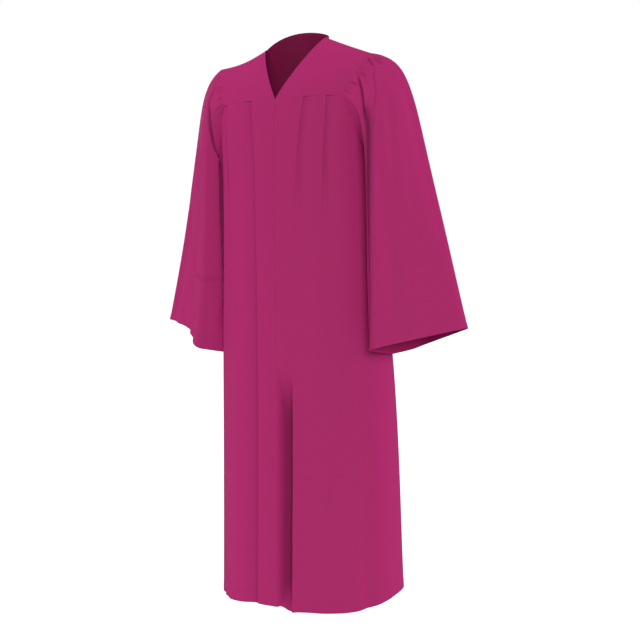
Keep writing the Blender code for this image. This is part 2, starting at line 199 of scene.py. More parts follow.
# Folds placed one by one. The path runs across and down the piece, the width and depth are metres
# inwards, and the shade is how dark the painted shade in the cloth's colour is along the fold at its
# deepest.
Fold = namedtuple("Fold", "piece width depth shade path")
FOLDS = (
    Fold("sleeve_left", 0.0024, 0.0060, 0.35, (
        (0.034, 0.001), (0.042, 0.007), (0.058, 0.015), (0.066, 0.020),
    )),
    Fold("sleeve_left", 0.0028, 0.0030, 0.12, (
        (0.060, 0.016), (0.072, 0.023), (0.100, 0.034), (0.122, 0.050), (0.140, 0.075),
        (0.163, 0.119), (0.170, 0.161), (0.176, 0.194), (0.180, 0.230),
    )),
    Fold("sleeve_left", 0.0070, 0.0050, 0.06, ((0.028, 0.010), (0.040, 0.026), (0.052, 0.036))),
    Fold("sleeve_left", 0.0028, 0.0105, 0.55, (
        (0.106, 0.000), (0.131, 0.009), (0.148, 0.019), (0.162, 0.031), (0.175, 0.047), (0.187, 0.067),
        (0.194, 0.088), (0.200, 0.113), (0.202, 0.150),
    )),
    Fold("sleeve_left", 0.0020, 0.0034, 0.10, (
        (0.098, 0.008), (0.104, 0.011), (0.133, 0.025), (0.142, 0.030),
    )),
    Fold("sleeve_left", 0.0075, 0.0080, 0.75, (
        (0.180, 0.050), (0.186, 0.110), (0.192, 0.190), (0.198, 0.320), (0.204, 0.500), (0.208, 0.700),
        (0.210, 0.950), (0.210, 1.300),
    )),
    Fold("sleeve_left", 0.0120, 0.0028, 0.0, ((0.100, 0.06), (0.120, 0.18), (0.122, 0.33), (0.117, 0.60))),
    Fold("sleeve_left", 0.0160, 0.0030, 0.0, ((0.040, 0.10), (0.025, 0.40), (0.020, 0.80))),
    Fold("sleeve_left", 0.0200, 0.0036, 0.0, ((0.150, 0.30), (0.140, 0.60), (0.135, 1.20))),
    Fold("sleeve_left", 0.0180, 0.0060, 0.0, ((0.780, 0.02), (0.770, 0.20), (0.790, 0.50))),
    Fold("sleeve_left", 0.0220, 0.0070, 0.0, ((0.880, 0.06), (0.870, 0.35), (0.850, 0.85))),
    Fold("sleeve_left", 0.0160, 0.0050, 0.0, ((0.700, 0.10), (0.720, 0.40), (0.730, 1.10))),
    Fold("sleeve_right", 0.0036, 0.0075, 0.70, (
        (0.070, 0.008), (0.090, 0.017), (0.114, 0.027), (0.130, 0.040), (0.152, 0.047), (0.186, 0.052),
        (0.210, 0.070), (0.244, 0.089), (0.260, 0.104), (0.288, 0.108), (0.340, 0.080), (0.386, 0.050),
        (0.434, 0.040), (0.480, 0.060), (0.540, 0.090),
    )),
    Fold("sleeve_right", 0.0200, 0.0090, 0.0, ((0.040, 0.45), (0.035, 0.75), (0.030, 1.25))),
    Fold("sleeve_right", 0.0140, -0.0050, 0.0, ((0.140, 0.55), (0.130, 0.80), (0.120, 1.25))),
    Fold("sleeve_right", 0.0070, 0.0040, 0.10, (
        (0.084, 0.782), (0.188, 0.720), (0.236, 0.703), (0.276, 0.685), (0.400, 0.640),
    )),
    Fold("sleeve_right", 0.0120, -0.0050, 0.0, ((0.272, 0.780), (0.272, 0.860), (0.274, 0.930))),
    Fold("sleeve_right", 0.0200, 0.0070, 0.0, ((0.760, 0.03), (0.780, 0.25), (0.770, 0.55))),
    Fold("sleeve_right", 0.0180, 0.0060, 0.0, ((0.870, 0.08), (0.880, 0.40), (0.860, 0.90))),
    Fold("sleeve_right", 0.0160, 0.0050, 0.0, ((0.690, 0.15), (0.700, 0.50), (0.720, 1.15))),
)

# Gathers that set a sleeve's head into its armhole: those placed one by one, and how the back's are spread
Gather = namedtuple("Gather", "side around length depth")
GATHERS = (
    Gather(+1, 0.012, 0.014, 0.0008),
    Gather(+1, 0.060, 0.018, 0.0010),
    Gather(+1, 0.089, 0.024, 0.0020),
    Gather(+1, 0.113, 0.030, 0.0026),
    Gather(+1, 0.157, 0.026, 0.0034),
    Gather(+1, 0.178, 0.020, 0.0016),
    Gather(+1, 0.198, 0.024, 0.0022),
    Gather(-1, 0.020, 0.014, 0.0010),
    Gather(-1, 0.052, 0.026, 0.0030),
    Gather(-1, 0.082, 0.020, 0.0016),
    Gather(-1, 0.112, 0.018, 0.0022),
    Gather(-1, 0.132, 0.022, 0.0020),
    Gather(-1, 0.172, 0.024, 0.0018),
    Gather(-1, 0.206, 0.034, 0.0030),
    Gather(-1, 0.235, 0.022, 0.0018),
)
GATHER_WIDTH = 0.0030
ARMHOLE_LENGTH = 0.53

# Painted shade: how much the colour darkens along the gathers for each metre of their depth, and along the
# pleats and the opening where they are darkest
GATHER_SHADE = 90.0
PLEAT_SHADE = 0.18
PLEAT_SHADE_AT = 1.9
PLEAT_SHADE_WIDTH = 0.7
PLEAT_OPEN_LAP = 0.9
OPENING_SHADE = 0.50

BACK_GATHERS = 9
BACK_GATHER_STEP = 0.026

# Below the zip the left front folds in beside the opening, and its edge lies behind the right front's
OPENING_TOP = 0.780
OPENING_FULL = 0.940
OPENING_DEPTH = 0.040
OPENING_WALL = (0.0035, 0.0085)
OPENING_RIM = (0.036, 0.043)
OPENING_CLOSES = 1.300
UNDERLAP = 0.004
UNDERLAP_SET = 0.0014
UNDERLAP_FADE = 0.010

# Stitches and zip teeth: size along the row, out from the cloth and across the row, then the pitch
BEAD_ROUND = 0.00014
STITCH = (0.0024, 0.00036, 0.00050)
STITCH_PITCH = 0.0034
TOOTH = (0.0010, 0.00060, 0.0036)
TOOTH_PITCH = 0.0016
TOOTH_INSET = 0.00130
TAPE_REACHES = (0.0008, 0.005, 0.009, 0.013)

# How finely each piece is divided
FRONT_COLUMNS = 140
BACK_COLUMNS = 104
BODY_ROWS = 190
YOKE_COLUMNS = 54
YOKE_ROWS = 50
SLEEVE_COLUMNS = 226
SLEEVE_ROWS = 164
FOLD_STEPS = 160
FOLD_REACH = 5.0

# A fold's raised shoulders, how far its shade spreads, and the shares of its path where it grows and fades
SHOULDER_RISE = 0.25
SHOULDER_AT = 1.9
SHOULDER_WIDTH = 0.9
SHADE_SPREAD = 1.1
FOLD_GROWN = 0.22
FOLD_FADES = 0.72

# Light that comes from all round, and what the floor adds to look as pale as the backdrop
DOME = 0.24
FLOOR_GLOW = 0.85


def read(rows, column, at):
    """A column of a table, read anywhere along its first column through a smooth curve."""
    known = np.array([row[0] for row in rows])
    value = np.array([getattr(row, column) for row in rows])
    slope = np.gradient(value, known)
    below = np.clip(np.searchsorted(known, at) - 1, 0, len(known) - 2)
    step = known[below + 1] - known[below]
    t = np.clip((at - known[below]) / step, 0.0, 1.0)
    start = value[below] * (1 + 2 * t) * (1 - t) ** 2 + slope[below] * step * t * (1 - t) ** 2
    return start + value[below + 1] * t * t * (3 - 2 * t) + slope[below + 1] * step * t * t * (t - 1)


def read_round(rows, column, around):
    """The same for a table that closes on itself after one turn."""
    turned = [row._replace(around=row.around + turn) for turn in (-1, 0, 1) for row in rows]
    known = [row.around for row in turned]
    value = [getattr(row, column) for row in turned]
    shifted = [np.interp(around % 1.0 + shift, known, value) for shift in CORNER_SOFTENING]
    return sum(shifted) / len(shifted)


def ease(start, end, at):
    """Rises smoothly from 0 at the start to 1 at the end."""
    t = np.clip((at - start) / (end - start), 0.0, 1.0)
    return t * t * (3 - 2 * t)


def bell(distance, width):
    return np.exp(-(distance / width) ** 2)


def ring(side, half, place, drop):
    """The plain body at a share of the way from the centre (0) to the side seam (1)."""
    angle = np.clip(place, -0.2, 1.2) * np.pi / 2
    power = 2 / read(BODY, "squareness", drop)
    across = np.sign(np.sin(angle)) * np.abs(np.sin(angle)) ** power
    along = np.sign(np.cos(angle)) * np.abs(np.cos(angle)) ** power
    seam = read(BODY, "side", drop)
    return np.stack([
        side * read(BODY, "half_width", drop) * across,
        seam + (read(BODY, half, drop) - seam) * along,
        -drop,
    ], axis=-1)


def quarter_length(half, drop):
    depth = read(BODY, half, drop) - read(BODY, "side", drop)
    return np.pi / 2 * np.sqrt((read(BODY, "half_width", drop) ** 2 + depth ** 2) / 2)


def body_folds(side, half, place, drop):
    """How far the pleats and flutes move a point along the ring and inwards."""
    length = quarter_length(half, drop)
    yoke = V_DEPTH if half == "front" else BACK_YOKE_DROP
    down = ease(yoke, GOWN_LENGTH, drop)
    along = np.zeros_like(place)
    inward = np.zeros_like(place)
    for pleat in PLEATS:
        if (pleat.side, pleat.half) != (side, half):
            continue
        width = pleat.width + (pleat.hem_width - pleat.width) * down
        q = (place - pleat.place) * length / width
        lap = pleat.lap * (1 - ease(yoke, pleat.opens, drop))
        depth = pleat.depth + (pleat.hem_depth - pleat.depth) * down
        along -= lap * q * np.exp(-q ** 2 / 2)
        inward += depth * (q * np.exp(-q ** 2 / 8) + 1.1 * np.exp(-q ** 2 / 9))
    for flute in FLUTES:
        if (flute.side, flute.half) != (side, half):
            continue
        q = (place - flute.place) * length / flute.width
        inward += flute.depth * ease(flute.start, GOWN_LENGTH, drop) * np.exp(-q ** 2)
    free = ease(0.0, 0.04, place)
    return along / length * free, inward * free


def shade_under_pleats(side, half, place, drop):
    """Painted shade in the colour just under the edge of each pleat, while the pleat still lies over on
    itself.
    """
    length = quarter_length(half, drop)
    yoke = V_DEPTH if half == "front" else BACK_YOKE_DROP
    down = ease(yoke, GOWN_LENGTH, drop)
    painted_shade_mask = np.zeros_like(place)
    for pleat in PLEATS:
        if (pleat.side, pleat.half) != (side, half):
            continue
        width = pleat.width + (pleat.hem_width - pleat.width) * down
        q = (place - pleat.place) * length / width
        fold_shade = np.clip(pleat.lap * (1 - ease(yoke, pleat.opens, drop)) / width - PLEAT_OPEN_LAP, 0.0, 1.0)
        painted_shade_mask += PLEAT_SHADE * fold_shade * bell(q - PLEAT_SHADE_AT, PLEAT_SHADE_WIDTH)
    return painted_shade_mask


def body_cloth(side, half, place, drop):
    along, inward = body_folds(side, half, place, drop)
    moved = place + along
    point = ring(side, half, moved, drop)
    run = ring(side, half, moved + 0.002, drop) - ring(side, half, moved - 0.002, drop)
    run /= np.linalg.norm(run, axis=-1, keepdims=True)
    turn = side if half == "front" else -side
    into = np.stack([-run[..., 1], run[..., 0], np.zeros_like(drop)], axis=-1) * turn
    return point + into * inward[..., None]


def top_drop(half, place):
    """The upper edge of a body panel: level under the yoke, then down round the armhole."""
    yoke, corner = (V_DEPTH, YOKE_CORNER) if half == "front" else (BACK_YOKE_DROP, BACK_YOKE_CORNER)
    out = np.clip((place - corner) / (1 - corner), 0.0, 1.0)
    return yoke + (UNDERARM_DROP - yoke) * (1 - (1 - out) ** 1.7)


def hem_drop(side, half, place):
    around = side * (place if half == "front" else 2 - place)
    return GOWN_LENGTH + read(HEM, "sag", around)


def shoulder_line(side, share):
    """From the neck point (0) to the shoulder point (1)."""
    hollow = np.where(side > 0, SHOULDER_HOLLOW[+1], SHOULDER_HOLLOW[-1])
    rise = side * NECK_TILT * (1 - share) - hollow * np.sin(np.pi * share)
    return np.stack([
        side * (NECK_HALF_WIDTH + (SHOULDER_HALF_SPAN - NECK_HALF_WIDTH) * share),
        SHOULDER_FORE * share,
        rise - SHOULDER_DROP * share,
    ], axis=-1)


def between(top, bottom, share, slope):
    """A point between an upper and a lower edge, on a curve that rounds the shoulder and ends upright."""
    angle = slope + (np.pi / 2 - slope) * share
    fore, fore_start = np.sin(angle) ** YOKE_FULLNESS, np.sin(slope) ** YOKE_FULLNESS
    fall, fall_start = 1 - np.cos(angle) ** YOKE_FULLNESS, 1 - np.cos(slope) ** YOKE_FULLNESS
    fore = (fore - fore_start) / (1 - fore_start)
    fall = (fall - fall_start) / (1 - fall_start)
    return top + (bottom - top) * np.stack([fall, fore, fall], axis=-1)


def front_yoke(side, across, share):
    """across runs from the neck edge to the armhole, share from the shoulder to the yoke seam."""
    top = shoulder_line(side, across)
    bottom = ring(side, "front", across * YOKE_CORNER, np.full_like(across, V_DEPTH - SEAM_GAP))
    return between(top, bottom, share, np.full_like(across, RIDGE_ANGLE))


def back_yoke(across, share):
    """across runs from the wearer's right armhole (-1) to the left (1)."""
    side = np.where(across < 0, -1.0, 1.0)
    reach = np.abs(across)
    shoulder = shoulder_line(side, np.clip((reach - NECK_SHARE) / (1 - NECK_SHARE), 0.0, 1.0))
    turn = np.clip(reach / NECK_SHARE, 0.0, 1.0) * np.pi / 2
    tilt = side * (NECK_TILT * np.sin(turn) - NECK_SWAY * np.sin(2 * turn))
    neck = np.stack([
        side * NECK_HALF_WIDTH * np.sin(turn),
        BACK_NECK_REACH * np.cos(turn),
        tilt + BACK_NECK_RISE * np.cos(turn) ** 1.1,
    ], axis=-1)
    at_neck = reach < NECK_SHARE
    top = np.where(at_neck[..., None], neck, shoulder)
    bottom = ring(side, "back", reach * BACK_YOKE_CORNER, np.full_like(across, BACK_YOKE_DROP - SEAM_GAP))
    slope = np.where(at_neck, RIDGE_ANGLE + (NECK_ANGLE - RIDGE_ANGLE) * np.cos(turn), RIDGE_ANGLE)
    return between(top, bottom, share, slope)


def crowded(count, crowds):
    """Places from 0 to 1, closer together near the crowds, each given as (place, width, how much closer)."""
    fine = np.linspace(0.0, 1.0, 2001)
    weight = 1.0 + sum(more * bell(fine - place, width) for place, width, more in crowds)
    reach = np.concatenate([[0.0], np.cumsum((weight[1:] + weight[:-1]) / 2)])
    return np.interp(np.linspace(0.0, reach[-1], count), reach, fine)


def panel_columns(side, half):
    """Column places from the centre (0) to the side (1), set closer at the pleats, flutes and edges."""
    crowds = [(0.0, 0.02, 4.0), (1.0, 0.02, 2.0)]
    crowds += [(row.place, 0.055, 3.6) for row in PLEATS if (row.side, row.half) == (side, half)]
    crowds += [(row.place, 0.08, 60.0 * row.depth) for row in FLUTES if (row.side, row.half) == (side, half)]
    if (side, half) == (+1, "front"):
        crowds += [(0.03, 0.03, 5.0), (0.12, 0.02, 5.0)]
    places = crowded(FRONT_COLUMNS if half == "front" else BACK_COLUMNS, crowds)
    corner = YOKE_CORNER if half == "front" else BACK_YOKE_CORNER
    places[np.argmin(np.abs(places - corner))] = corner
    return places


def rows_down(count, edge_rows, edge):
    """Row shares from 0 to 1, with some of them kept for the turned edges at both ends."""
    inner = np.linspace(edge, 1 - edge, count - 2 * edge_rows)
    upper = np.linspace(0.0, edge, edge_rows + 1)[:-1]
    return np.concatenate([upper, inner, 1 - upper[::-1]])


def armhole(side):
    """The armhole from the shoulder point forward, under the arm and up the back, as (shares, points)."""
    down = np.linspace(0.0, 1.0, YOKE_ROWS)
    front, back = panel_columns(side, "front"), panel_columns(side, "back")
    front, back = front[front > YOKE_CORNER], back[back > BACK_YOKE_CORNER][:-1]
    points = np.concatenate([
        front_yoke(side, np.ones_like(down), down),
        ring(side, "front", front, top_drop("front", front)),
        ring(side, "back", back[::-1], top_drop("back", back[::-1])),
        back_yoke(side * np.ones_like(down), 1 - down),
    ])
    travelled = np.concatenate([[0.0], np.cumsum(np.linalg.norm(np.diff(points, axis=0), axis=-1))])
    return travelled / travelled[-1], points


def sleeve_cloth(side, around, share):
    """around is the share of the way round the armhole, share runs from the armhole to the cuff."""
    where, points = armhole(side)
    start = np.stack([np.interp(around % 1.0, where, points[:, axis]) for axis in range(3)], axis=-1)
    start[..., 0] += side * SLEEVE_GAP
    swell, cuff = (
        np.stack([
            side * read_round(rows, "out", around),
            read_round(rows, "fore", around),
            -read_round(rows, "drop", around),
        ], axis=-1)
        for rows in (SWELLS[side], CUFFS[side])
    )
    puff = (1 - share) ** SWELL_FADE[side] * (1 - np.exp(-share / HEAD_TURN))
    return start + (cuff - start) * share[..., None] + swell * puff[..., None]


def grid_normals(points, closed=False):
    """Unit normals of a grid of points."""
    wide = np.concatenate([points[:, -3:-1], points, points[:, 1:3]], axis=1) if closed else points
    normal = np.cross(np.gradient(wide, axis=1), np.gradient(wide, axis=0))
    normal /= np.linalg.norm(normal, axis=-1, keepdims=True)
    return normal[:, 2:-2] if closed else normal


def from_edge(points, axis, far=False):
    """Metres along the cloth from the first or the last row (axis 0) or column (axis 1)."""
    steps = np.linalg.norm(np.diff(points, axis=axis), axis=-1)
    start = np.zeros_like(steps[:1] if axis == 0 else steps[:, :1])
    reach = np.concatenate([start, np.cumsum(steps, axis=axis)], axis)
    if not far:
        return reach
    return (reach[-1:] if axis == 0 else reach[:, -1:]) - reach


def seam_turn(distance):
    return SEAM_TURN * bell(distance, SEAM_TURN_WIDTH)


def turned_hem(distance, depth):
    """A hem's second layer: the cloth stands proud down to the edge, with its stitches pulled in above."""
    pulled = HEM_PULL * HEM_STEP * bell(distance - depth, HEM_PULL_WIDTH)
    return pulled - HEM_STEP * (1 - ease(depth - HEM_EASE, depth, distance))


def rolled_edge(distance):
    """The neck's edge: a soft roll, and the line that its stitches pull in."""
    pulled = NECK_PULL * NECK_ROLL * bell(distance - NECK_STITCH_INSET, NECK_PULL_WIDTH)
    return pulled - NECK_ROLL * bell(distance - NECK_ROLL_INSET, NECK_ROLL_WIDTH)


def ripples(turn, down, counts, seed):
    """Soft uneven waves that run down the cloth. turn closes on itself after 1."""
    draw = np.random.default_rng(seed)
    total = np.zeros_like(turn)
    for count in counts:
        phase, lean, fade_phase = draw.uniform(0, 2 * np.pi, 3)
        swing = 0.5 + 0.5 * np.sin(2 * np.pi * down * draw.uniform(0.5, 1.3) + fade_phase)
        total += np.sin(2 * np.pi * count * turn + phase + 0.5 * np.sin(lean + 3 * down)) * swing
    return total / len(counts)


def hand_folds(piece, points, columns, rows):
    """How far inwards the folds placed one by one move each point of a grid, and the painted shade they put
    in its colour.
    """
    inward = np.zeros(points.shape[:2])
    painted_shade_mask = np.zeros(points.shape[:2])
    for fold in FOLDS:
        if fold.piece != piece:
            continue
        path = np.array(fold.path)
        knots = np.linspace(0.0, 1.0, len(path))
        t = np.linspace(0.0, 1.0, FOLD_STEPS)
        across = smooth(knots, path[:, 0], t)
        down = smooth(knots, path[:, 1], t)
        on_piece = (down >= 0.0) & (down <= 1.0)
        column = np.interp(across, columns, np.arange(len(columns)))
        row = np.interp(down, rows, np.arange(len(rows)))
        line = sample(points, row, column)[on_piece]
        strength = (ease(0.0, FOLD_GROWN, t) * (1 - ease(FOLD_FADES, 1.0, t)))[on_piece]
        low, high = line.min(axis=0) - FOLD_REACH * fold.width, line.max(axis=0) + FOLD_REACH * fold.width
        near = np.all((points > low) & (points < high), axis=-1)
        offset = points[near][:, None, :] - line[None, :, :]
        distance = np.linalg.norm(offset, axis=-1)
        nearest = np.argmin(distance, axis=1)
        each = np.arange(len(nearest))
        q = distance[each, nearest] / fold.width
        profile = fold.depth * (np.exp(-q ** 2) - SHOULDER_RISE * bell(q - SHOULDER_AT, SHOULDER_WIDTH))
        inward[near] += profile * strength[nearest]
        # painted shade: each fold darkens the colour along its line by its shade
        painted_shade_mask[near] += fold.shade * bell(q, SHADE_SPREAD) * strength[nearest]
    return inward, painted_shade_mask


def smooth(known, value, at):
    """A smooth curve through a few points."""
    slope = np.gradient(value, known)
    below = np.clip(np.searchsorted(known, at) - 1, 0, len(known) - 2)
    step = known[below + 1] - known[below]
    t = np.clip((at - known[below]) / step, 0.0, 1.0)
    start = value[below] * (1 + 2 * t) * (1 - t) ** 2 + slope[below] * step * t * (1 - t) ** 2
    return start + value[below + 1] * t * t * (3 - 2 * t) + slope[below + 1] * step * t * t * (t - 1)


def sample(points, row, column):
    """Points between a grid's own."""
    low_row, low_column = np.floor(row).astype(int), np.floor(column).astype(int)
    high_row = np.minimum(low_row + 1, points.shape[0] - 1)
    high_column = np.minimum(low_column + 1, points.shape[1] - 1)
    y, x = (row - low_row)[:, None], (column - low_column)[:, None]
    upper = points[low_row, low_column] * (1 - x) + points[low_row, high_column] * x
    lower = points[high_row, low_column] * (1 - x) + points[high_row, high_column] * x
    return upper * (1 - y) + lower * y


def front_panel(side):
    """A front, as its grid of points and its flat places across and down."""
    name = "front_left" if side > 0 else "front_right"
    rows, columns = rows_down(BODY_ROWS, 12, 0.026), panel_columns(side, "front")
    place, share = np.meshgrid(columns, rows)
    edge = SEAM_GAP / 2 / quarter_length("front", np.full_like(place, GOWN_LENGTH))
    place = edge + place * (1 - 2 * edge)
    top = top_drop("front", place)
    drop = top + (hem_drop(side, "front", place) - top) * share
    points = body_cloth(side, "front", place, drop)
    points[:, 0, 0] = side * CENTRE_GAP / 2
    if side > 0:
        beside = from_edge(points, 1)
        points[..., 1] += opening_fold(beside, drop)
        behind = bell(beside, UNDERLAP_FADE) * ease(OPENING_TOP - 0.06, OPENING_TOP, drop)
        points[..., 0] -= UNDERLAP * behind
        points[..., 1] += UNDERLAP_SET * behind
    normals = grid_normals(points) * -side
    # painted shade from the folds and under the pleat edges goes into the crease mask
    inward, painted_shade_mask = hand_folds(name, points, columns, rows)
    painted_shade_mask += shade_under_pleats(side, "front", place, drop)
    if side > 0:
        # painted shade: the colour darkens down the opening in step with how far back the cloth lies there
        painted_shade_mask += OPENING_SHADE * opening_fold(beside, drop) / OPENING_DEPTH
    inward += body_ripples(side * place / 4, drop)
    inward += seam_turn(from_edge(points, 0)) + seam_turn(from_edge(points, 1, far=True))
    inward += turned_hem(from_edge(points, 0, far=True), HEM_DEPTH)
    aside = from_edge(points, 1)
    turned = CENTRE_TURN * bell(aside, CENTRE_TURN_WIDTH)
    inward += turned - CENTRE_RISE * bell(aside - CENTRE_RISE_AT, CENTRE_RISE_WIDTH)
    points -= normals * inward[..., None]
    return points, place * quarter_length("front", 0.8), drop, painted_shade_mask


def opening_fold(beside, drop):
    """How far back the left front lies beside the opening: a steep wall, a bed and a sharp rim over it."""
    grown = ease(OPENING_TOP, OPENING_FULL, drop) * (1 - 0.75 * ease(OPENING_CLOSES, GOWN_LENGTH, drop))
    return OPENING_DEPTH * grown * (ease(*OPENING_WALL, beside) - ease(*OPENING_RIM, beside))


def body_ripples(turn, drop):
    """Uneven waves in the skirt, which grow towards the hem."""
    grown = 0.0002 + 0.0030 * ease(0.25, GOWN_LENGTH, drop)
    at_seam = bell(np.abs(turn) - 0.25, SEAM_CALM)
    return grown * (1 - at_seam) * ripples(turn, drop, (9, 13, 17, 22, 28), 11)


def back_panel():
    name = "back"
    rows = rows_down(BODY_ROWS, 12, 0.026)
    grids = []
    for side in (-1, +1):
        columns = panel_columns(side, "back")
        place, share = np.meshgrid(columns, rows)
        place = place * (1 - SEAM_GAP / 2 / 0.3)
        top = top_drop("back", place)
        drop = top + (hem_drop(side, "back", place) - top) * share
        points = body_cloth(side, "back", place, drop)
        grids.append((points, side * place, drop, shade_under_pleats(side, "back", place, drop)))
    right, left = grids
    points, across, drop, painted_shade_mask = (np.concatenate([a[:, :0:-1], b], axis=1) for a, b in zip(right, left))
    normals = grid_normals(points)
    # painted shade along the back's folds and under its pleat edges, carried in the crease mask
    inward, fold_shade = hand_folds(name, points, across[0], rows)
    inward += body_ripples((2 - np.abs(across)) * np.sign(across + 1e-9) / 4, drop)
    inward += seam_turn(from_edge(points, 0))
    inward += seam_turn(from_edge(points, 1)) + seam_turn(from_edge(points, 1, far=True))
    inward += turned_hem(from_edge(points, 0, far=True), HEM_DEPTH)
    points = points - normals * inward[..., None]
    return points, across * quarter_length("back", 0.8), drop, painted_shade_mask + fold_shade


def front_yoke_grid(side):
    name = "yoke_front_left" if side > 0 else "yoke_front_right"
    columns = np.linspace(0.0, 1.0, YOKE_COLUMNS) ** 1.25
    rows = np.linspace(0.0, 1.0, YOKE_ROWS)
    across, share = np.meshgrid(columns, rows)
    points = front_yoke(side, across, share)
    points[..., 1] -= SEAM_GAP / 2
    points[..., 0] += side * CENTRE_GAP / 2
    normals = grid_normals(points) * -side
    inward, painted_shade_mask = hand_folds(name, points, columns, rows)
    inward += rolled_edge(from_edge(points, 1))
    inward += seam_turn(from_edge(points, 0, far=True)) + seam_turn(from_edge(points, 1, far=True))
    return points - normals * inward[..., None], points[..., 0], from_edge(points, 0), painted_shade_mask


def back_yoke_grid():
    columns = np.sort(np.concatenate([np.linspace(-1.0, 1.0, 2 * YOKE_COLUMNS), [-NECK_SHARE, NECK_SHARE]]))
    rows = np.linspace(0.0, 1.0, YOKE_ROWS) ** 1.3
    across, share = np.meshgrid(columns, rows)
    points = back_yoke(across, share)
    points[..., 1] += BACK_YOKE_SET
    normals = grid_normals(points)
    inward, painted_shade_mask = hand_folds("yoke_back", points, columns, rows)
    at_neck = ease(NECK_SHARE + 0.02, NECK_SHARE - 0.02, np.abs(across))
    inward += at_neck * rolled_edge(from_edge(points, 0))
    inward += seam_turn(from_edge(points, 0, far=True))
    inward += seam_turn(from_edge(points, 1)) + seam_turn(from_edge(points, 1, far=True))
    return points - normals * inward[..., None], points[..., 0], from_edge(points, 0), painted_shade_mask


def head_gathers(side, around, down):
    """Short troughs that run down from the armhole's seam, uneven as gathered cloth is, and the painted
    shade that darkens the colour along them.
    """
    draw = np.random.default_rng(41 + side)
    rows = [gather for gather in GATHERS if gather.side == side]
    for number in range(1, BACK_GATHERS + 1):
        place = 1.0 - BACK_GATHER_STEP * (number + draw.uniform(-0.3, 0.3))
        rows.append(Gather(side, place, draw.uniform(0.014, 0.030), draw.uniform(0.0010, 0.0028)))
    inward = np.zeros_like(around)
    painted_shade_mask = np.zeros_like(around)
    for row in rows:
        aside = ((around - row.around + 0.5) % 1.0 - 0.5) * ARMHOLE_LENGTH
        fade = 1 - ease(0.4 * row.length, 1.3 * row.length, down)
        shape = bell(aside, GATHER_WIDTH) * ease(0.0, 0.002, down) * fade
        inward += row.depth * shape
        # painted shade: each gather darkens the colour in step with its depth
        painted_shade_mask += GATHER_SHADE * row.depth * shape
    return inward, painted_shade_mask


def sleeve_grid(side):
    name = "sleeve_left" if side > 0 else "sleeve_right"
    rows = crowded(SLEEVE_ROWS, [(0.0, 0.12, 4.0), (1.0, 0.035, 4.0)])
    columns = crowded(SLEEVE_COLUMNS + 1, [(0.13, 0.17, 1.6), (1.0, 0.10, 0.8)])
    around, share = np.meshgrid(columns, rows)
    points = sleeve_cloth(side, around, share)
    normals = grid_normals(points, closed=True) * side
    # painted shade along the sleeve's folds and gathers goes into the crease mask
    inward, painted_shade_mask = hand_folds(name, points, columns, rows)
    gathered, pucker_shade = head_gathers(side, around, from_edge(points, 0))
    grown = 0.0004 + 0.0022 * ease(0.1, 1.0, share)
    inward += grown * ripples(around, 2 * share, (4, 6, 9, 12, 15), 23 + side)
    inward += turned_hem(from_edge(points, 0, far=True), CUFF_DEPTH)
    inward += seam_turn(from_edge(points, 0)) + gathered
    return points - normals * inward[..., None], around * 0.75, share * 0.62, painted_shade_mask + pucker_shade


def select_nothing():
    bpy.ops.object.select_all(action="DESELECT")


def cloth_piece(name, outer, inner, points, across, down, painted_shade_mask, closed=False):
    """A thin shell through a grid of points, with its own flat map in metres and a mask of the painted shade
    along its creases.
    """
    rows, columns = points.shape[:2]
    select_nothing()
    bpy.ops.mesh.primitive_grid_add(x_subdivisions=columns - 1, y_subdivisions=rows - 1, size=1.0)
    piece = bpy.context.object
    piece.name = piece.data.name = name
    mesh = piece.data
    mesh.materials.append(outer)
    mesh.materials.append(inner)
    mesh.vertices.foreach_set("co", points.reshape(-1))
    corners = np.empty(len(mesh.loops), dtype=np.int32)
    mesh.loops.foreach_get("vertex_index", corners)
    flat = np.stack([across, down], axis=-1).reshape(-1, 2)[corners]
    mesh.uv_layers.active.name = "cloth_map"
    mesh.uv_layers.active.data.foreach_set("uv", flat.reshape(-1))
    mask = mesh.attributes.new("painted_shade_mask", "FLOAT", "POINT")
    mask.data.foreach_set("value", np.clip(painted_shade_mask, 0.0, 1.0).reshape(-1))
    mesh.update()
    if closed:
        bpy.ops.object.mode_set(mode="EDIT")
        bpy.ops.mesh.select_all(action="SELECT")
        bpy.ops.mesh.remove_doubles(threshold=1e-6)
        bpy.ops.object.mode_set(mode="OBJECT")
    thicken = piece.modifiers.new("cloth", "SOLIDIFY")
    thicken.thickness = CLOTH
    thicken.offset = 0.0
    thicken.material_offset = 1
    bpy.ops.object.modifier_apply(modifier=thicken.name)
    bpy.ops.object.shade_smooth_by_angle(angle=math.radians(60))
    return piece


def inset_line(points, normals, distance, axis, far=False):
    """Points on the cloth along a line set in from a grid's edge, and the way the cloth faces there."""
    reach = from_edge(points, axis, far)
    if axis == 0:
        reach, points, normals = reach.T, points.transpose(1, 0, 2), normals.transpose(1, 0, 2)
    line, facing = [], []
    for along, row, out in zip(reach, points, normals):
        order = np.argsort(along)
        line.append([np.interp(distance, along[order], row[order, axis]) for axis in range(3)])
        facing.append([np.interp(distance, along[order], out[order, axis]) for axis in range(3)])
    return np.array(line), np.array(facing)


